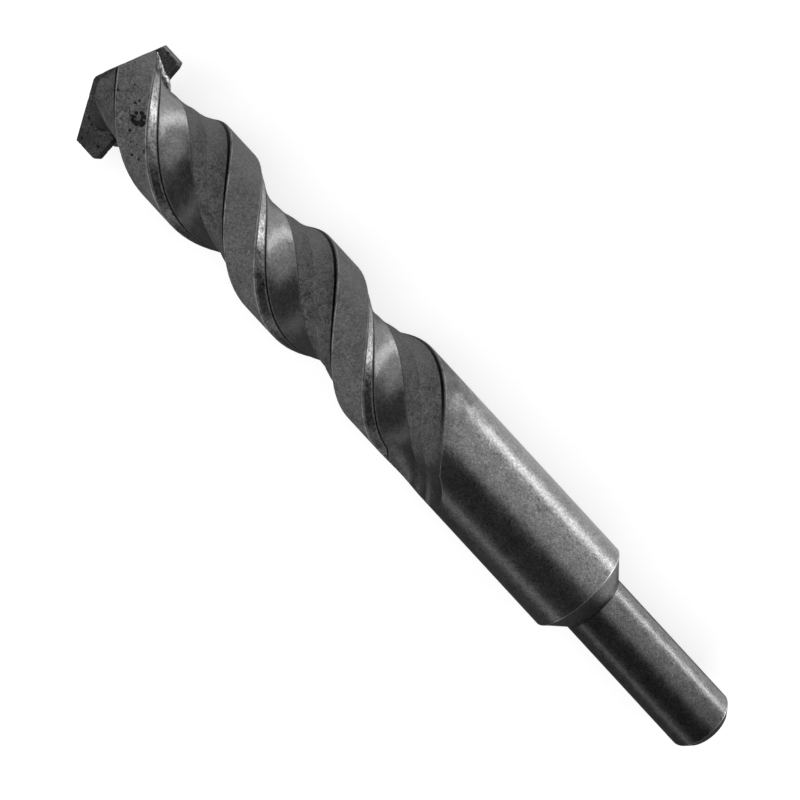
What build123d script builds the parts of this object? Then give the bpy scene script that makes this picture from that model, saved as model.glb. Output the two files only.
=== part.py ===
from build123d import *

import os
from math import atan, cos, pi, radians, sin, sqrt, tan

# Carbide tipped masonry drill bit with two right-hand flutes and a reduced shank.
# The drill lies on its lands and neck. Its axis runs along X at the height of the body's radius, with the tip
# at +X. Depths are measured along the axis, from the worn chisel edge towards the shank. Turns about the axis
# are in degrees from +Y towards +Z. Seen from the shank the drill cuts clockwise.

# Overall sizes, in mm
overall_length = 162.0
body_diameter = 20.0
tip_diameter = 24.2

# Shank and shoulder
shank_diameter = 12.7
shank_length = 30.4
shank_end_chamfer = 1.4
shoulder_length = 3.1
neck_edge_chamfer = 0.85

# Flute section: how deep its corners lie, and their angles ahead of the land's leading corner
flute_lead = 55.0
land_corner_ahead_of_plate = 32.7
land_wear_depth = 0.56
land_wear_start_angle = -3.3
land_wear_foot_angle = 1.1
strip_depth = 1.37
strip_foot_angle = 9.9
flute_depth = 3.25
crease_angle = 63.9
ridge_depth = 2.38
ridge_angle = 92.1
step_height = 0.55
step_foot_angle = 122.3
step_top_angle = 126.3
cutter_reach = 4.0

# Milling wheel that cuts the flutes: where its deepest point stops, and its print there
flute_stop_depth = 89.85
wheel_radius = 20.0
wheel_arc = 60.0

# Carbide plate
plate_thickness = 2.0
plate_height = 9.85
plate_offset = 0.4
plate_turn = 14.3
point_angle = 130.0
point_offset = 0.7
relief_angle = 26.5
side_relief_angle = 8.0
chisel_wear = 0.15
wing_corner_length = 0.35
wing_corner_width = 0.7

# Steel head: its four-sided roof, and the gash in front of each cutting edge, from its top to its foot
roof_depth = 2.05
roof_side_slope = 16.6
roof_back_slope = 17.1
gash_top_inset = 4.25
gash_top_depth = 2.2
gash_foot_inset = 1.7
gash_foot_depth = 6.8

# Brazed joint
braze_gap = 0.1

body_radius = body_diameter / 2
land_wear_radius = body_radius - land_wear_depth
strip_foot_radius = body_radius - strip_depth
crease_radius = body_radius - flute_depth
ridge_radius = body_radius - ridge_depth
step_foot_radius = body_radius - step_height
shank_radius = shank_diameter / 2
tip_radius = tip_diameter / 2
tip_x = overall_length / 2
shank_end_x = tip_x - overall_length
axis_height = body_radius
half_plate = plate_thickness / 2
half_slot = half_plate + braze_gap
overrun = body_diameter
drill_axis = Axis((0, 0, axis_height), (1, 0, 0))


def polar(radius, angle):
    """A point of a cross-section, from its radius and its turn about the axis."""
    return (radius * cos(radians(angle)), radius * sin(radians(angle)))


def cross_plane(depth, turn=0.0):
    """The plane square to the axis at a depth, facing the tip, with its x at a turn from +Y."""
    return Plane(origin=(tip_x - depth, 0, axis_height), x_dir=(0, *polar(1, turn)), z_dir=(1, 0, 0))


def wing_frame(turn):
    """Directions of a wing: outwards along the plate, and square to it towards its trailing side."""
    outward = Vector(0, *polar(1, turn))
    trailing = Vector(0, *polar(1, turn - 90))
    return outward, trailing


def wing_plane(turn):
    """The plate's middle plane at the tip: x runs out along a wing, y to the tip, z to the trailing side."""
    outward, trailing = wing_frame(turn)
    return Plane(origin=(tip_x, 0, axis_height), x_dir=outward, z_dir=trailing)


def slanted(turn, outward_slope, trailing_slope, depth, reach=0.0):
    """A plane over the head that falls back along a wing and behind it, facing the tip."""
    outward, trailing = wing_frame(turn)
    normal = Vector(1, 0, 0) + outward * tan(radians(outward_slope)) + trailing * tan(radians(trailing_slope))
    return Plane(origin=Vector(tip_x - depth, 0, axis_height) + outward * reach, z_dir=normal)


near_wing_turn = 180 - plate_turn
wing_turns = (near_wing_turn, near_wing_turn + 180)
land_corner_turn = near_wing_turn + land_corner_ahead_of_plate

# Turned blank: shank, cone shoulder, neck and the stock of the fluted part
with BuildPart() as blank:
    with BuildSketch(Plane(origin=(shank_end_x, 0, axis_height), x_dir=(1, 0, 0), z_dir=(0, -1, 0))):
        with BuildLine():
            Polyline(
                (0, 0),
                (0, shank_radius - shank_end_chamfer),
                (shank_end_chamfer, shank_radius),
                (shank_length, shank_radius),
                (shank_length + shoulder_length, body_radius - neck_edge_chamfer),
                (shank_length + shoulder_length + neck_edge_chamfer, body_radius),
                (overall_length, body_radius),
                (overall_length, 0),
                close=True,
            )
        make_face()
    revolve(axis=drill_axis)

# The stop of the milling wheel: its deepest point is on the crease, and it is set to the helix at the surface
stop_turn = land_corner_turn + crease_angle - 360 * flute_stop_depth / flute_lead
stop_outward = Vector(0, *polar(1, stop_turn))
stop_point = Vector(tip_x - flute_stop_depth, 0, axis_height) + stop_outward * crease_radius
helix_angle = atan(2 * pi * body_radius / flute_lead)
wheel_travel = Vector(-cos(helix_angle), *polar(sin(helix_angle), stop_turn - 90))
wheel_axis = Axis(stop_point + stop_outward * wheel_radius, wheel_travel.cross(stop_outward))
stop_plane = Plane(origin=stop_point, x_dir=stop_outward, z_dir=wheel_travel)

# One flute as what is milled away: a section swept along the helix, up to the wheel's stop
cutter_end_depth = flute_stop_depth + body_diameter
cutter_start_turn = land_corner_turn - 360 * cutter_end_depth / flute_lead
cutter_outer_radius = body_radius + cutter_reach
cutter_middle_angle = (strip_foot_angle + step_foot_angle) / 2


def beyond(corner_angle, foot_radius, foot_angle, factor):
    """The point past a land's corner on the line from the flute's inner corner through it."""
    corner = Vector(*polar(body_radius, corner_angle))
    foot = Vector(*polar(foot_radius, foot_angle))
    past = corner + (corner - foot) * factor
    return (past.X, past.Y)


cutter_section = [
    beyond(land_wear_start_angle, land_wear_radius, land_wear_foot_angle, 1),
    polar(land_wear_radius, land_wear_foot_angle),
    polar(strip_foot_radius, strip_foot_angle),
    polar(crease_radius, crease_angle),
    polar(ridge_radius, ridge_angle),
    polar(step_foot_radius, step_foot_angle),
    beyond(step_top_angle, step_foot_radius, step_foot_angle, 2),
    polar(cutter_outer_radius, step_foot_angle),
    polar(cutter_outer_radius, cutter_middle_angle),
    polar(cutter_outer_radius, strip_foot_angle),
]

with BuildPart() as flute_sweep:
    with BuildSketch(cross_plane(cutter_end_depth, cutter_start_turn)):
        with BuildLine():
            Polyline(*cutter_section, close=True)
        make_face()
    with BuildLine() as spine:
        Line((tip_x - cutter_end_depth, 0, axis_height), (tip_x + cutter_reach, 0, axis_height))
    with BuildLine() as guide:
        Helix(
            pitch=flute_lead,
            height=cutter_end_depth + cutter_reach,
            radius=cutter_outer_radius,
            center=(tip_x - cutter_end_depth, 0, axis_height),
            direction=(1, 0, 0),
        )
    sweep(path=spine.line, binormal=guide.line.edge())

# The wheel's print at the flute's end: the section there, turned about the wheel's axis until it is clear
with BuildPart() as flute_cutter:
    add(section(flute_sweep.part, section_by=stop_plane, mode=Mode.PRIVATE))
    revolve(axis=wheel_axis, revolution_arc=wheel_arc)
    add(split(flute_sweep.part, bisect_by=stop_plane, keep=Keep.BOTTOM, mode=Mode.PRIVATE))

# Fluted stock with its roofed head, before the slot is milled
with BuildPart() as head_stock:
    add(blank.part)
    for turn in (0, 180):
        add(flute_cutter.part.rotate(drill_axis, turn), mode=Mode.SUBTRACT)
    for turn in wing_turns:
        for back_slope in (roof_back_slope, -roof_back_slope):
            split(bisect_by=slanted(turn, roof_side_slope, back_slope, roof_depth), keep=Keep.BOTTOM)
    gash_foot_reach = body_radius - gash_foot_inset
    gash_taper = (gash_top_inset - gash_foot_inset) / (gash_foot_depth - gash_top_depth)
    for turn in wing_turns:
        with BuildSketch(wing_plane(turn).offset(-half_plate)):
            with BuildLine():
                Polyline(
                    (gash_foot_reach - gash_taper * (gash_foot_depth + overrun), overrun),
                    (gash_foot_reach, -gash_foot_depth),
                    (gash_foot_reach + overrun, -gash_foot_depth),
                    (gash_foot_reach + overrun, overrun),
                    close=True,
                )
            make_face()
        extrude(amount=-overrun, mode=Mode.SUBTRACT)

# Slot across the head, open at both ends
slot_depth = plate_height + braze_gap

with BuildPart() as slot:
    with BuildSketch(wing_plane(near_wing_turn)):
        with BuildLine():
            Polyline(
                (-overrun, overrun),
                (overrun, overrun),
                (overrun, -slot_depth),
                (-overrun, -slot_depth),
                close=True,
            )
        make_face()
    extrude(amount=half_slot, both=True)

with BuildPart() as steel_body:
    add(head_stock.part)
    add(slot.part, mode=Mode.SUBTRACT)

# Carbide plate: flat sides and foot, roof ground with relief, outer ends relieved, chisel edge a little worn
leading_reach = sqrt(tip_radius**2 - half_plate**2)
far_reach = leading_reach + plate_offset
near_reach = leading_reach - plate_offset
plate_roof = [
    slanted(turn, 90 - point_angle / 2, relief_angle, -chisel_wear, offset)
    for turn, offset in zip(wing_turns, (-point_offset, point_offset))
]

with BuildPart() as carbide_tip:
    with BuildSketch(wing_plane(near_wing_turn)):
        with BuildLine():
            Polyline(
                (-far_reach, chisel_wear),
                (near_reach, chisel_wear),
                (near_reach, wing_corner_length - plate_height),
                (near_reach - wing_corner_width, -plate_height),
                (wing_corner_width - far_reach, -plate_height),
                (-far_reach, wing_corner_length - plate_height),
                close=True,
            )
        make_face()
    extrude(amount=half_plate, both=True)
    for turn, reach, roof in zip(wing_turns, (near_reach, far_reach), plate_roof):
        split(bisect_by=roof, keep=Keep.BOTTOM)
        outward, trailing = wing_frame(turn)
        wing_end = Plane(
            origin=Vector(tip_x, 0, axis_height) + outward * reach - trailing * half_plate,
            z_dir=outward + trailing * tan(radians(side_relief_angle)),
        )
        split(bisect_by=wing_end, keep=Keep.BOTTOM)
    split(bisect_by=cross_plane(0), keep=Keep.BOTTOM)

# Brazing metal: what fills the slot between the steel and the plate, no higher than the plate's roof
with BuildPart() as braze_filler:
    add(head_stock.part)
    add(slot.part, mode=Mode.INTERSECT)
    for roof in plate_roof:
        split(bisect_by=roof, keep=Keep.BOTTOM)
    add(carbide_tip.part, mode=Mode.SUBTRACT)

steel_body.part.label = "steel_body"
carbide_tip.part.label = "carbide_tip"
braze_filler.part.label = "braze_filler"

os.makedirs("parts", exist_ok=True)
export_step(steel_body.part, "parts/steel_body.step")
export_step(carbide_tip.part, "parts/carbide_tip.step")
export_step(braze_filler.part, "parts/braze_filler.step")
print("steel", round(steel_body.part.volume, 1), "faces", len(steel_body.part.faces()))
print("carbide", round(carbide_tip.part.volume, 1), "faces", len(carbide_tip.part.faces()))
print("braze", round(braze_filler.part.volume, 2), "solids", len(braze_filler.part.solids()))
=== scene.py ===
# %% [markdown]
# Masonry drill bit: a lesson in giving a machined part its real surface.
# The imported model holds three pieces: the steel body, the carbide plate across its tip and the brazing
# metal between them. Their forms and sizes are right, but a computer's edges are sharper than any real
# one, and every face is bare. This script rounds, wears, pits and colours them, and lights the drill as
# it lies on a pale table.

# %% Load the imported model
from math import cos, degrees, pi, radians, sin

import bmesh
import bpy
from mathutils import Matrix, Vector, noise
from mathutils.bvhtree import BVHTree


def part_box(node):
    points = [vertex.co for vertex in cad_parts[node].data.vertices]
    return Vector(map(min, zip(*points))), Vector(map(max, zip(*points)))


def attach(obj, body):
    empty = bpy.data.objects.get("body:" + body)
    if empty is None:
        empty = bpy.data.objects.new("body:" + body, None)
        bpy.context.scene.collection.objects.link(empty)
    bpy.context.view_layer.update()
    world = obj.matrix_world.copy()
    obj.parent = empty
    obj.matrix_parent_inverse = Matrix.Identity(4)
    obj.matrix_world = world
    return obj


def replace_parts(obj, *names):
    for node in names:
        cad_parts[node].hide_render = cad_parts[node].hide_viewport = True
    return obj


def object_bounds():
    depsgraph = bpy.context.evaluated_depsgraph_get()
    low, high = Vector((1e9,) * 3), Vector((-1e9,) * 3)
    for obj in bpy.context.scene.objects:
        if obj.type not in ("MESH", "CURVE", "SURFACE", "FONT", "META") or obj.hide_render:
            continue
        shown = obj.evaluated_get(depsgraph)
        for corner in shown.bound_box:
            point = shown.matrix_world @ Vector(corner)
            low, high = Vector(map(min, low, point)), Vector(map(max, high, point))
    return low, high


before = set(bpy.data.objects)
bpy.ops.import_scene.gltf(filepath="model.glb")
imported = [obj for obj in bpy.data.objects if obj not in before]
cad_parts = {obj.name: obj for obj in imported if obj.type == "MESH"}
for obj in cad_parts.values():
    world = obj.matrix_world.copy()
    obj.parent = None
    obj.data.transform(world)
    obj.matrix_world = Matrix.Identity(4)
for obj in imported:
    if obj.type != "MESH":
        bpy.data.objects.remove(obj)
cad_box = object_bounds()
millimetre = 0.001
print("drill, in mm:", [round(side / millimetre, 1) for side in cad_box[1] - cad_box[0]])

# %% [markdown]
# Three measures are needed again and again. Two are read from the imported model's boxes, so that they
# follow it: how far along X the tip is, and how high the axis lies over the table. The body's radius is
# the one that it was drawn with.

# %% Measures of the drill
tip_x = cad_box[1].x
body_low, body_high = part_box("steel_body")
axis_height = (body_low.z + body_high.z) / 2
body_radius = 10 * millimetre
print("tip and axis height, in mm:", round(tip_x / millimetre, 3), round(axis_height / millimetre, 3))

# %% [markdown]
# The camera stands right over the drill, as a phone held above a table does. From so near, both ends are
# seen at a slant of about 27 degrees. A longer lens from further away would lose that slant, and the
# tip's sloping roof would look too long. The drill's axis runs from the upper left of the picture to the
# lower right.

# %% Camera
half_turn = 180
camera_distance = 155.8 * millimetre
camera_aim = Vector((0.2, 0.8, 0)) * millimetre
axis_slope_in_picture = 47.38

camera_data = bpy.data.cameras.new("camera")
camera_data.sensor_width = 36
camera_data.lens = 38.4
camera = bpy.data.objects.new("camera", camera_data)
camera.location = camera_aim + Vector((0, 0, axis_height + camera_distance))
camera.rotation_euler = (0, 0, radians(axis_slope_in_picture - half_turn))
bpy.context.scene.collection.objects.link(camera)
bpy.context.scene.camera = camera
print("camera height, in mm:", round(camera.location.z / millimetre, 1))

# %% [markdown]
# Shader maths could be built node by node, but it reads best as plain expressions. The class below wraps
# one socket: adding or multiplying two of them adds the Math node that does it. One method, make, adds
# any other node. Its inputs are given by name, or by _number where several share a name.

# %% A wrapped socket
class Socket:
    """One output of a node tree, with arithmetic that adds Math nodes."""

    def __init__(self, tree, link):
        self.tree = tree
        self.link = link

    def make(self, kind, output=0, settings=None, **inputs):
        """Adds a node of a kind, sets its settings, feeds its inputs and gives one of its outputs."""
        node = self.tree.nodes.new(kind)
        for name, value in (settings or {}).items():
            setattr(node, name, value)
        for name, value in inputs.items():
            key = int(name[1:]) if name[0] == "_" else name
            feed(self.tree, node.inputs[key], value)
        return Socket(self.tree, node.outputs[output])

    def part(self, output):
        """Another output of the node that this socket belongs to."""
        return Socket(self.tree, self.link.node.outputs[output])

    def math(self, operation, *values):
        """A Math node on this socket and other values."""
        others = {f"_{number}": value for number, value in enumerate(values, 1)}
        return self.make("ShaderNodeMath", settings={"operation": operation}, _0=self, **others)

    def __add__(self, other):
        return self.math("ADD", other)

    def __mul__(self, other):
        return self.math("MULTIPLY", other)

    def __sub__(self, other):
        return self.math("SUBTRACT", other)

    def __truediv__(self, other):
        return self.math("DIVIDE", other)

    def __rsub__(self, other):
        return self.make("ShaderNodeMath", settings={"operation": "SUBTRACT"}, _0=other, _1=self)

    __radd__ = __add__
    __rmul__ = __mul__

    def larger(self, other):
        """The larger of this socket and another value."""
        return self.math("MAXIMUM", other)

    def between(self, low, high):
        """0 below low, 1 above high, and smooth in between."""
        settings = {"interpolation_type": "SMOOTHSTEP"}
        return self.make("ShaderNodeMapRange", settings=settings, _0=self, _1=low, _2=high, _3=0.0, _4=1.0)

    def band(self, low, high, soft):
        """1 from low to high and 0 outside, with soft borders."""
        return self.between(low - soft, low + soft) * (1 - self.between(high - soft, high + soft))

    def grain(self, size, detail=4.0, roughness=0.6):
        """Noise around a half, at the place that this socket holds, with blotches of about a size."""
        return self.make("ShaderNodeTexNoise", Vector=self, Scale=1 / size, Detail=detail,
                         Roughness=roughness)

    def attribute(self, name):
        """A number that the mesh carries."""
        return self.make("ShaderNodeAttribute", "Fac", {"attribute_name": name})

    def bumps(self, height):
        """A normal that follows this socket, as bumps of a height in metres."""
        return self.make("ShaderNodeBump", Height=self, Distance=height)

    def grey(self):
        """The grey of this socket, from black at 0 to white at 1."""
        settings = {"data_type": "RGBA"}
        return self.make("ShaderNodeMix", 2, settings, Factor=self, _6=(0, 0, 0, 1), _7=(1, 1, 1, 1))


def feed(tree, socket, value):
    """Links a wrapped socket to an input, or sets the input's own value."""
    if isinstance(value, Socket):
        tree.links.new(value.link, socket)
    else:
        socket.default_value = value

# %% [markdown]
# A new material starts with one shader. The two helpers below make it and fill in its inputs by name, so
# that each finish further down is only its own sums. Patterns read the object's coordinates, in metres:
# they stay put on the drill, and they need no unwrapping.

# %% Materials
def new_material(name):
    """A material with its tree and shader, and a wrapped socket with the object's coordinates."""
    material = bpy.data.materials.new(name)
    material.use_nodes = True
    tree = material.node_tree
    place = Socket(tree, None).make("ShaderNodeTexCoord", "Object")
    return material, tree, tree.nodes["Principled BSDF"], place


def fill_in(tree, node, values):
    """Feeds the named inputs of a node."""
    for name, value in values.items():
        feed(tree, node.inputs[name], value)

# %% [markdown]
# The table is a pale sheet, far larger than the drill. More lamps could make it white, but they would
# burn out the metal too. It gives off light instead, which only the camera and reflections see, so the
# drill stays lit by the lamps. A part of the table's own brightness comes from the lamps as well, and
# there the drill's soft shadow shows.

# %% Table
table_size = 3.0
table_grey = 0.5
table_glow = 0.72
sheet_roughness = 0.9


def add_sheet(name, size, place, grey):
    """A flat matte square that belongs to the set and not to the drill."""
    flat = bmesh.new()
    bmesh.ops.create_grid(flat, x_segments=1, y_segments=1, size=size / 2)
    data = bpy.data.meshes.new(name)
    flat.to_mesh(data)
    flat.free()
    material, tree, shader, _ = new_material(name)
    matte = {"Base Color": (grey, grey, grey, 1), "Roughness": sheet_roughness, "Specular IOR Level": 0.0}
    fill_in(tree, shader, matte)
    data.materials.append(material)
    sheet = bpy.data.objects.new(name, data)
    sheet.location = place
    bpy.context.scene.collection.objects.link(sheet)
    return sheet


table = add_sheet("table", table_size, (0, 0, 0), table_grey)
tree = table.active_material.node_tree
camera_ray = Socket(tree, None).make("ShaderNodeLightPath", "Is Camera Ray")
seen = camera_ray.larger(camera_ray.part("Is Glossy Ray")).larger(camera_ray.part("Is Transmission Ray"))
glow = {"Emission Color": (1, 1, 1, 1), "Emission Strength": seen * table_glow}
fill_in(tree, tree.nodes["Principled BSDF"], glow)
print("table, in m:", round(table.dimensions.x, 2))

# %% [markdown]
# Polished metal shows whatever lies around it. The glowing table shows no shadow in reflections, so a
# dark card under the drill, which reaches far out on the side away from the window, is painted shade: it
# stands in for the drill's shadow on the table and keeps the reflections there deep, as photographers'
# cards do with shiny tools. It could be painted on the table, but then the picture would show it. Only
# reflections see the card.

# %% Dark card of painted shade
card_size = 1.0
shade_card_grey = 0.13
card_height = 1 * millimetre
card_past_axis = 14 * millimetre

# The card is painted shade: a stand-in for the drill's shadow on the table, seen only in reflections.
card = add_sheet("painted_shade_card", card_size, (0, card_size / 2 - card_past_axis, card_height), shade_card_grey)
card.visible_camera = False
card.visible_diffuse = False
card.visible_shadow = False
print("card, in m:", round(card.dimensions.x, 2))

# %% [markdown]
# A low window along one side gives the long bright band on every round face, and the ceiling beside it
# gives the calm grey next to that band. A far, weak window puts a faint line on the other side. These
# alone would leave half of the dull oxide black, so a fill lights what is matte and nothing else: the
# oxide is even all round, while the ground metal keeps its deep side. Places and sizes are in metres
# and powers in watts.

# %% Lights
drill_middle = (0, 0, 0.01)
drill_foot = (0, 0, 0)


def add_light(name, place, aim, size, power, matte=True, shiny=True):
    """A flat lamp at a place, turned to a point, that lights matte surfaces, shiny ones or both."""
    lamp = bpy.data.lights.new(name, "AREA")
    lamp.shape = "RECTANGLE"
    lamp.size, lamp.size_y = size
    lamp.energy = power
    light = bpy.data.objects.new(name, lamp)
    light.location = place
    light.rotation_euler = (Vector(aim) - Vector(place)).to_track_quat("-Z", "Y").to_euler()
    light.visible_diffuse = matte
    light.visible_glossy = shiny
    bpy.context.scene.collection.objects.link(light)


add_light("window", (0, -0.4, 0.045), drill_middle, size=(1.1, 0.09), power=2.2, matte=False)
add_light("far_window", (0, 0.5, 0.06), drill_middle, size=(1.1, 0.12), power=0.3)
add_light("ceiling", (0, -0.55, 0.75), drill_foot, size=(1.2, 1.1), power=3.7)
add_light("fill", (0, 0.45, 0.6), drill_foot, size=(1.0, 1.0), power=5.0, shiny=False)
print("lamps:", [lamp.name for lamp in bpy.data.lights])

# %% [markdown]
# The room behind the table is white to the camera. Everything else gets only a little of that light, as
# much as dark walls would give, or the metal would lose its contrast. The Standard view keeps each colour
# as it is written.

# %% Room
room_light = 0.06
world = bpy.data.worlds.new("room")
world.use_nodes = True
bpy.context.scene.world = world
tree = world.node_tree
camera_ray = Socket(tree, None).make("ShaderNodeLightPath", "Is Camera Ray")
white_to_camera = {"Color": (1, 1, 1, 1), "Strength": camera_ray * (1 - room_light) + room_light}
fill_in(tree, tree.nodes["Background"], white_to_camera)
bpy.context.scene.view_settings.view_transform = "Standard"
print("light of the room:", room_light)

# %% [markdown]
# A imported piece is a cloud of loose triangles. A copy with its corners joined can be worked like any
# other mesh. Crumbs of edge, such as those where the flutes end, are closed up as well, because the
# rounding that comes next has no room on them.

# %% Copies that can be worked
corner_angle = radians(15)
crumb = 0.25 * millimetre
same_place = 0.001 * millimetre


def sharp_edges(piece):
    """The edges at which a piece has a real corner."""
    return [edge for edge in piece.edges if edge.calc_face_angle() > corner_angle]


def joined_copy(node):
    """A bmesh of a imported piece, with its triangles joined."""
    piece = bmesh.new()
    piece.from_mesh(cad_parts[node].data)
    bmesh.ops.remove_doubles(piece, verts=piece.verts, dist=same_place)
    crumbs = [edge for edge in sharp_edges(piece) if edge.calc_length() < crumb]
    ends = [vert for vert in piece.verts if any(edge in crumbs for edge in vert.link_edges)]
    bmesh.ops.remove_doubles(piece, verts=ends, dist=crumb)
    print(node, "corners joined:", len(piece.verts))
    return piece

# %% [markdown]
# No machined corner is a knife edge. A Bevel modifier could round them, but its new faces would not say
# what they are. The bevel operator gives them back, so each one gets a number, 1 on an outer corner and
# -1 in an inner one. The colours read it: outer corners are rubbed bright, and inner ones get painted shade.

# %% Rounded corners
def round_corners(piece, width, clamp):
    """Rounds each corner by a width, and numbers the new faces."""
    corner = piece.faces.layers.float.new("corner")
    rounded = bmesh.ops.bevel(piece, geom=sharp_edges(piece), affect="EDGES", offset_type="OFFSET",
                              offset=width, segments=2, profile=0.5, material=-1, clamp_overlap=clamp)
    for face in rounded["faces"]:
        bend = sum(edge.calc_face_angle_signed() for edge in face.edges)
        face[corner] = 1.0 if bend > 0 else -1.0
    print("corner faces:", len(rounded["faces"]))

# %% [markdown]
# A scar can only be pressed into a mesh that is finer than the scar. Subdividing the whole drill would
# make millions of triangles, so only the long edges of the wanted faces are halved, round after round.

# %% Finer faces
split_rounds = 9


def make_triangles(piece):
    """Splits each face with more than three corners into triangles."""
    bmesh.ops.triangulate(piece, faces=[face for face in piece.faces if len(face.verts) > 3])


def split_long_edges(piece, longest, is_wanted):
    """Halves those edges of the wanted faces that are longer than a length, for a number of rounds."""
    for _ in range(split_rounds):
        make_triangles(piece)
        long_edges = [edge for edge in piece.edges if edge.calc_length() > longest
                      and any(is_wanted(face) for face in edge.link_faces)]
        bmesh.ops.subdivide_edges(piece, edges=long_edges, cuts=1)
    make_triangles(piece)

# %% [markdown]
# The steel body is rounded by a tenth of a millimetre, and the round outside of its lands is made fine
# near the tip, where stone has scarred it. New vertices lie on straight edges, a hair inside the true
# circle, so they are moved out to it again.

# %% Steel body
steel_rounding = 0.1 * millimetre
fine_end = 25 * millimetre
fine_edge = 0.3 * millimetre
outer_share = 0.985
roof_slope = 0.2


def across_axis(point):
    """The way from the drill's axis straight out to a point."""
    return Vector((0, point.y, point.z - axis_height))


def on_fine_land(face):
    """Tells whether a face is part of the round outside near the tip, and not of the roof."""
    middle = face.calc_center_median()
    is_outside = across_axis(middle).length > outer_share * body_radius
    return tip_x - middle.x < fine_end and is_outside and face.normal.x < roof_slope


steel_piece = joined_copy("steel_body")
steel_piece.verts.layers.float.new("pit")
round_corners(steel_piece, steel_rounding, clamp=False)
split_long_edges(steel_piece, fine_edge, on_fine_land)
corner = steel_piece.faces.layers.float["corner"]
land_verts = [vert for vert in steel_piece.verts
              if all(on_fine_land(face) and face[corner] == 0 for face in vert.link_faces)]
for vert in land_verts:
    across = across_axis(vert.co)
    vert.co += across.normalized() * (body_radius - across.length)
print("steel triangles:", len(steel_piece.faces), "on the fine land:", len(land_verts))

# %% [markdown]
# Stone has broken pits into the first land. They could be bumps in the material, but these are deep
# enough to see from the side, so they are pressed into the mesh, and noise makes their rims ragged. Each
# vertex keeps how deep inside a pit it is, from 0 to 1, and the steel is darker there.

# %% One pit
pit_rag = 0.7
pit_rag_size = 0.6 * millimetre
pit_rim = 0.85
pit_wall = 2
pit_steepness = 0.25


def press_pit(verts, pit, centre, width):
    """Presses one ragged pit into vertices. Their pit number says how deep in a pit each lies."""
    for vert in verts:
        ragged = noise.noise(vert.co / pit_rag_size) * pit_rag
        share = (vert.co - centre).length / (width / 2) + ragged
        if share < pit_rim:
            inside = min(1.0, (pit_rim - share) * pit_wall)
            vert[pit] = max(vert[pit], inside)
            vert.co -= vert.normal * width * pit_steepness * inside

# %% [markdown]
# The worst scar is a ring of pits run together, about 15 mm behind the tip, with lone pits around it. The
# ring is a loop, and the lone pits are too few and too irregular for a rule, so each is written down. A
# pit has its depth behind the tip, its turn about the axis and its width, in mm and degrees. The unseen
# land has a few of its own.

# %% Pits in the steel
ring_depth, ring_turn = 15.0, 83.5
ring_radius, ring_count = 0.95, 7
ring_pit_width = 1.35
turn_per_mm = 6
seen_pits = [(12.7, 92, 1.0), (13.0, 96, 0.7), (16.2, 81, 1.2), (13.9, 72, 0.7), (15.3, 69, 0.8),
             (16.2, 70, 0.6), (16.5, 60, 0.8), (17.8, 64, 0.6), (18.0, 51, 0.9), (19.5, 65, 0.7),
             (19.5, 53, 0.7), (9.1, 88, 0.6), (10.2, 103, 0.6)]
unseen_pits = [(9.7, 262, 1.4), (14.8, 280, 2.0), (16.0, 270, 1.4), (18.9, 250, 1.2)]

pits = []
for step in range(ring_count):
    angle = 2 * pi * step / ring_count
    along, round_axis = ring_radius * cos(angle), turn_per_mm * ring_radius * sin(angle)
    pits.append((ring_depth + along, ring_turn + round_axis, ring_pit_width))
pits += seen_pits + unseen_pits
steel_piece.normal_update()
pit = steel_piece.verts.layers.float["pit"]
for behind_tip, turn, width in pits:
    out = Vector((0, cos(radians(turn)), sin(radians(turn)))) * body_radius
    centre = Vector((tip_x - behind_tip * millimetre, 0, axis_height)) + out
    press_pit(land_verts, pit, centre, width * millimetre)
print("pits:", len(pits), "vertices in them:", sum(vert[pit] > 0 for vert in steel_piece.verts))

# %% [markdown]
# Drill steel is hardened in a furnace, which leaves a dull grey oxide on the fluted part. The neck and
# the shank were ground afterwards, so they are bare and shine. The strip in front of each land is rubbed
# to bare metal. Thin dark lines of painted shade run along the strip's foot, the step and the crease.
# A painted image could show all this, but it would have to be unwrapped along a helix. A point's
# coordinates already say where it lies in the drill's own twist, so the bands follow the flutes by
# arithmetic. The drill looks the same after half a turn, so the twist's angle runs from 0 to 180
# degrees. It starts on the round outside of a land, where it cuts no band in two.

# %% Where a point lies on the twisted drill
flute_lead = 55.0
twist_start = 188.4
twist_per_mm = 2 * half_turn / flute_lead


def drill_map(place):
    """A point's depth behind the tip and way from the axis, in mm, and its angle in the twist."""
    parts = place.make("ShaderNodeSeparateXYZ", "X", _0=place)
    depth = (tip_x - parts) / millimetre
    side = parts.part("Y") / millimetre
    up = (parts.part("Z") - axis_height) / millimetre
    turn = up.math("ARCTAN2", side) * degrees(1)
    twist = (turn + depth * twist_per_mm - twist_start).math("FLOORED_MODULO", half_turn)
    radius = (up * up + side * side).math("SQRT")
    return depth, twist, radius


print("twist, in degrees per mm:", round(twist_per_mm, 2))

# %% [markdown]
# Three grains of noise, from patches of a few millimetres down to specks, keep the steel from looking
# like plastic. The narrow zone where a fourth noise crosses its middle value draws wormy lines, as scale
# does on forged steel.

# %% Grains of the steel
worm_width = 0.05
steel, tree, shader, place = new_material("hardened_steel")
depth, twist, radius = drill_map(place)
patches = place.grain(2.5 * millimetre, 3.0)
blotches = patches.between(0.3, 0.7)
mottle = place.grain(0.45 * millimetre, 5.0, 0.65)
speckle = place.grain(0.16 * millimetre, 2.0)
vein = (place.grain(0.9 * millimetre, 2.0, 0.5) - 0.5).math("ABSOLUTE")
worms = 1 - vein.between(0.0, worm_width)
print("nodes for the grains:", len(tree.nodes))

# %% [markdown]
# Each finish has its own zone: a stretch of depth or a distance from the axis, in mm, or a band of
# twist, in degrees. Soft borders keep the zones from looking printed, and the patches make the oxide's
# end wander, as a grinding wheel leaves it.

# %% Zones of the steel
flutes_end = (84, 92)
oxide_end, oxide_wander = (88, 104), 16
head_end = (12, 24)
land_surface = (9.8, 9.95)
crease_share = 0.45

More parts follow.
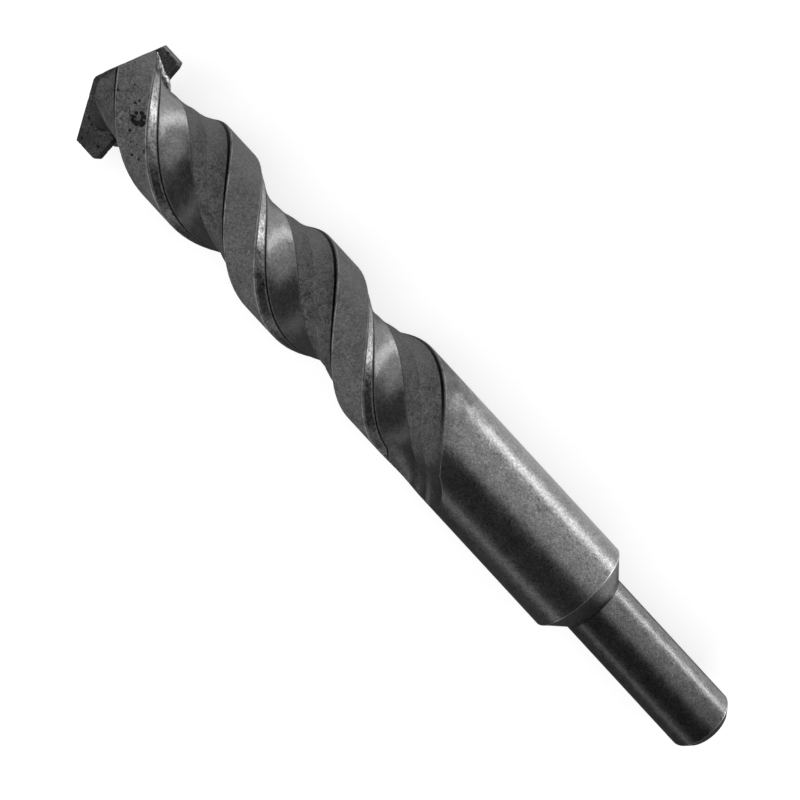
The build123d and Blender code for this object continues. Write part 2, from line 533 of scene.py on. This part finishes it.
milled = 1 - depth.between(*flutes_end)
fluted = 1 - (depth + patches * oxide_wander).between(*oxide_end)
head = 1 - depth.between(*head_end)
outside = radius.between(*land_surface)
strip = twist.band(9.0, 18.5, 0.8) * milled
hollow = twist.band(22, 73, 2.0)
# Painted shade: thin dark lines along the strip's foot, the step and the crease, where shade falls.
strip_foot_shade = twist.band(19.9, 21.6, 0.6)
step_shade = twist.band(131.1, 134.3, 0.5) * (1 - outside)
crease_shade = twist.band(73.0, 74.8, 0.5) * crease_share
painted_line_shade = strip_foot_shade.larger(step_shade).larger(crease_shade) * milled
print("nodes with the zones:", len(tree.nodes))

# %% [markdown]
# Shades run from 0, black, to 1, white. The oxide, the rubbed strips and the ground neck and shank each
# start from a base and get a share of the grains, and the zones choose between them. The ground steel is
# darker on the thin shank.

# %% Shades of the steel
oxide_base, bare_base, ground_base = 0.02, 0.16, 0.11
oxide_level = 0.76
neck_surface = (6.6, 8)
line_shade_cover = 0.93

oxide = mottle.between(0.35, 0.65) * 0.09 + oxide_base + speckle.between(0.54, 0.7) * 0.15 + blotches * 0.05
oxide = (oxide + hollow * 0.12 + outside * 0.05) * oxide_level
oxide = oxide * (1 - worms * outside * (head * 0.4 + 0.25))
bare = mottle.between(0.38, 0.6) * 0.2 + bare_base
ground = mottle.between(0.3, 0.7) * 0.12 + ground_base + speckle.between(0.5, 0.7) * 0.25
ground = ground * (radius.between(*neck_surface) * 0.3 + 0.7) * (blotches * 0.3 + 0.85)
shade = ground + (oxide - ground) * fluted
shade = shade + (bare - shade) * strip * patches.between(0.25, 0.5)
# The painted shade lines darken the grey here.
shade = shade * (1 - painted_line_shade * line_shade_cover)
print("nodes with the shades:", len(tree.nodes))

# %% [markdown]
# Wear and painted shade follow the form. Outer corners are rubbed bright in places, and all along at the
# roof's rim and behind the flutes. Inner corners are darkened as painted shade, and pits are dark. An
# Ambient Occlusion node could find the inner corners too, but it is slow, and the numbers on the mesh
# are already there.

# %% Wear and painted shade of the steel
roof_end = (2.5, 4)
neck_start = (110, 120)
inner_corner_shade_cover, pit_cover = 0.75, 0.85

corner_number = place.attribute("corner")
pitted = place.attribute("pit")
rims = (1 - depth.between(*roof_end)).larger(depth.between(*neck_start))
rubbed = corner_number.between(0.4, 0.6) * (patches.between(0.4, 0.6) * 0.6 + 0.3).larger(rims * 2)
# Painted shade: the faces in inner corners are darkened, as if shade fell in them.
inner_corner_shade = (0 - corner_number).between(0.4, 0.6)
shade = shade + rubbed * (outside.larger(rims) * 0.17 + 0.03)
shade = shade * (1 - inner_corner_shade * inner_corner_shade_cover) * (1 - pitted.between(0.1, 0.6) * pit_cover)
print("nodes with the wear:", len(tree.nodes))

# %% [markdown]
# Rough oxide scatters light and smooth metal mirrors it. So the zones also drive how metallic and how
# rough the steel is, and the grains give it a fine relief.

# %% Finish of the steel
steel_relief = 0.06 * millimetre
ground_roughness, oxide_roughness = 0.33, 0.35

dull = fluted * (1 - strip) * (1 - hollow * 0.92)
roughness = ground_roughness + dull * oxide_roughness
roughness = roughness + (mottle - 0.5) * 0.3 + (patches - 0.5) * 0.15 + pitted * 0.2
relief = (mottle * 0.6 + speckle * 0.2 - worms * outside * fluted * 0.35) * (0.55 + fluted * 0.45)
# The painted shade lines are made fully metallic, so that they stay black without a sheen.
fill_in(tree, shader, {"Base Color": shade.grey(), "Metallic": 1 - dull * (1 - painted_line_shade) * 0.95,
                       "Roughness": roughness, "Normal": relief.bumps(steel_relief)})
print("nodes in the steel:", len(tree.nodes))

# %% [markdown]
# Cemented carbide is pressed powder, baked hard. It stays dark and grainy, so it is only partly metallic.
# Flux and soot have stayed black along its seam with the steel, with a few bright flecks of brazing metal
# in them. The mesh carries each point's closeness to the steel as a number, because a material has no
# simple way to measure it.

# %% Sintered carbide
carbide_relief = 0.06 * millimetre
carbide_base = 0.025

carbide, tree, shader, place = new_material("sintered_carbide")
mottle = place.grain(0.5 * millimetre, 5.0, 0.7)
speckle = place.grain(0.18 * millimetre, 2.0)
patches = place.grain(3 * millimetre, 2.0)
seam = (place.attribute("joint") + (mottle - 0.5) * 0.8).between(0.3, 0.45)
shade = mottle.between(0.3, 0.7) * 0.05 + carbide_base
shade = shade + speckle.between(0.5, 0.66) * 0.15 * patches.between(0.35, 0.65)
shade = shade + place.attribute("corner").between(0.4, 0.6) * mottle.between(0.4, 0.6) * 0.08
shade = shade * (1 - place.attribute("pit").between(0.1, 0.6) * 0.8)
shade = shade * (1 - seam * 0.9) + seam * patches.between(0.55, 0.65) * 0.1
relief = mottle * 0.7 + speckle * 0.3
fill_in(tree, shader, {"Base Color": shade.grey(), "Metallic": 0.4,
                       "Roughness": 0.5 + (mottle - 0.5) * 0.3, "Normal": relief.bumps(carbide_relief)})
print("nodes in the carbide:", len(tree.nodes))

# %% [markdown]
# Brazing metal is bright where it ran and dull where the flux lay on it, so one noise moves both its
# shade and its shine. It fills the joint and froze in beads beside the plate.

# %% Brazing metal
braze_relief = 0.04 * millimetre

braze, tree, shader, place = new_material("brazing_metal")
mottle = place.grain(0.4 * millimetre, 4.0)
shade = mottle.between(0.35, 0.65) * 0.4 + 0.12
fill_in(tree, shader, {"Base Color": shade.grey(), "Metallic": 1.0,
                       "Roughness": 0.35 + (mottle - 0.5) * 0.3, "Normal": mottle.bumps(braze_relief)})
print("nodes in the brazing metal:", len(tree.nodes))

# %% [markdown]
# The plate is small and seen close up, so its whole surface is made fine. Grains have broken out of it
# here and there: where the noise is high, the mesh is pressed in. The plate's closeness to the steel is
# measured at each vertex, for the material of the seam.

# %% Carbide plate
plate_rounding = 0.06 * millimetre
plate_edge = 0.45 * millimetre
seam_reach = 0.6 * millimetre
hole_size, fine_hole_size = 0.8 * millimetre, 0.4 * millimetre
hole_start, hole_wall = 0.42, 5
hole_depth = 0.08 * millimetre

plate_piece = joined_copy("carbide_tip")
pit = plate_piece.verts.layers.float.new("pit")
joint = plate_piece.verts.layers.float.new("joint")
round_corners(plate_piece, plate_rounding, clamp=True)
split_long_edges(plate_piece, plate_edge, lambda face: True)
plate_piece.normal_update()
steel_surface = BVHTree.FromBMesh(steel_piece)
for vert in plate_piece.verts:
    gap = steel_surface.find_nearest(vert.co)[3]
    vert[joint] = max(0.0, 1 - gap / seam_reach)
    hole = noise.noise(vert.co / hole_size) + 0.5 * noise.noise(vert.co / fine_hole_size)
    if hole > hole_start:
        vert[pit] = min(1.0, (hole - hole_start) * hole_wall)
        vert.co -= vert.normal * vert[pit] * hole_depth
print("plate triangles:", len(plate_piece.faces))

# %% [markdown]
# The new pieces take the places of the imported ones. Smooth shading over the bevels would bend the flat
# faces' light, so the Weighted Normal modifier lets the large faces keep their own direction. The packed
# brazing metal is only a thin layer in the joint. It stays as it came, with its new material.

# %% Objects for the pieces
def add_piece(piece, name, material):
    """Makes an object of a finished bmesh."""
    data = bpy.data.meshes.new(name)
    piece.to_mesh(data)
    piece.free()
    data.shade_smooth()
    data.materials.append(material)
    thing = bpy.data.objects.new(name, data)
    bpy.context.scene.collection.objects.link(thing)
    normals = thing.modifiers.new("normals", "WEIGHTED_NORMAL")
    normals.weight = 100
    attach(thing, "root")
    print("piece:", name)
    return thing


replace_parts(add_piece(steel_piece, "drill_steel", steel), "steel_body")
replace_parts(add_piece(plate_piece, "carbide_plate", carbide), "carbide_tip")
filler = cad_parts["braze_filler"]
filler.data.materials.clear()
filler.data.materials.append(braze)

# %% [markdown]
# When the plate was brazed in, metal ran out of the joint and froze as a lumpy bead in the corner between
# the plate and the flute. It could be sculpted, but a curve with a width at each point gives the bead's
# run in a few numbers: depth behind the tip, place to the side, height above the axis and width, in mm.

# %% A bead's run
bead_path = ((5.7, -9.3, 3.4, 0.4), (6.7, -8.75, 3.3, 1.1), (7.8, -8.0, 3.15, 1.5), (8.9, -7.4, 3.0, 1.8),
             (9.8, -6.95, 2.8, 2.1), (10.4, -6.75, 2.2, 1.8), (11.1, -6.5, 1.8, 1.0), (11.8, -6.3, 1.6, 0.4))


def bead_mesh():
    """The bead's mesh, swept along its path."""
    curve = bpy.data.curves.new("bead", "CURVE")
    curve.dimensions = "3D"
    curve.bevel_depth = 1.0
    curve.bevel_resolution = 4
    curve.use_fill_caps = True
    spline = curve.splines.new("NURBS")
    spline.points.add(len(bead_path) - 1)
    for point, (behind_tip, side, up, width) in zip(spline.points, bead_path):
        point.co = (tip_x - behind_tip * millimetre, side * millimetre, axis_height + up * millimetre, 1)
        point.radius = width / 2 * millimetre
    spline.order_u = 3
    spline.use_endpoint_u = True
    run = bpy.data.objects.new("bead", curve)
    mesh = bpy.data.meshes.new_from_object(run)
    bpy.data.objects.remove(run)
    return mesh

# %% [markdown]
# Noise makes the bead lumpy. The drill looks the same after half a turn about its axis, so the second
# bead is the first one turned.

# %% Beads of brazing metal
lump_size = 0.8 * millimetre
lump_height = 0.15 * millimetre

beads = bmesh.new()
beads.from_mesh(bead_mesh())
bmesh.ops.remove_doubles(beads, verts=beads.verts, dist=same_place)
bmesh.ops.subdivide_edges(beads, edges=beads.edges, cuts=1, use_grid_fill=True)
beads.normal_update()
for vert in beads.verts:
    vert.co += vert.normal * noise.noise(vert.co / lump_size) * lump_height
second = bmesh.ops.duplicate(beads, geom=beads.faces)["geom"]
second_verts = [part for part in second if isinstance(part, bmesh.types.BMVert)]
on_axis = Vector((0, 0, axis_height))
bmesh.ops.rotate(beads, verts=second_verts, cent=on_axis, matrix=Matrix.Rotation(pi, 3, "X"))
print("bead faces:", len(beads.faces))
add_piece(beads, "braze_beads", braze)
